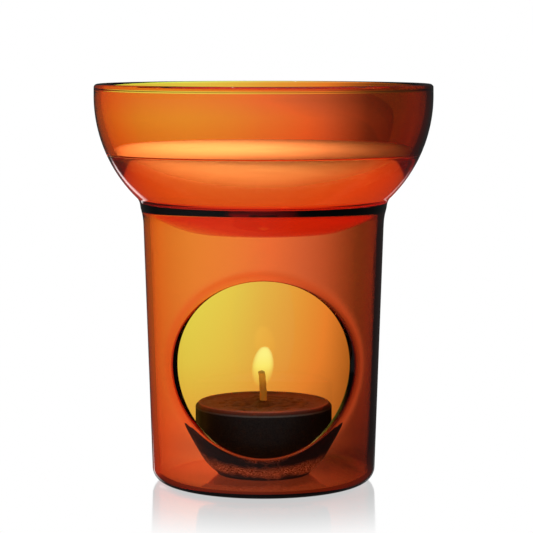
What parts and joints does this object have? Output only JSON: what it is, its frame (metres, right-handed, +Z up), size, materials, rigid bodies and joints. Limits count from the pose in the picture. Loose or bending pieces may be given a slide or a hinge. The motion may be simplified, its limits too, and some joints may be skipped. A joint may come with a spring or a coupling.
{
  "type": "glass oil burner with tealight",
  "caption": "Amber glass oil burner: a shallow water bowl fused onto a glass chamber with a round front window, holding a loose round-bottomed tealight.",
  "frame": {"origin": "centre of the base's flat underside", "axes": "+Z up through the bowl, -Y out of the round window, +X to the viewer's right when looking in at the window"},
  "size_m": [0.0936, 0.0936, 0.1104],
  "materials": {
    "amber_glass": "polished",
    "cup_metal": "satin",
    "wax": "satin",
    "wick": "matte",
    "tab_steel": "satin",
    "water": "polished",
    "flame": "polished"
  },
  "bodies": {
    "glass": {"bowl": "amber_glass", "chamber": "amber_glass"},
    "tealight": {"tealight_cup": "cup_metal", "wax": "wax", "wick": "wick", "wick_tab": "tab_steel"}
  },
  "joints": [
    {"name": "tealight_draw", "type": "slide", "parent": "glass", "child": "tealight", "axis": [0, -0.8241, 0.5664], "range_m": [0, 0.07]}
  ]
}
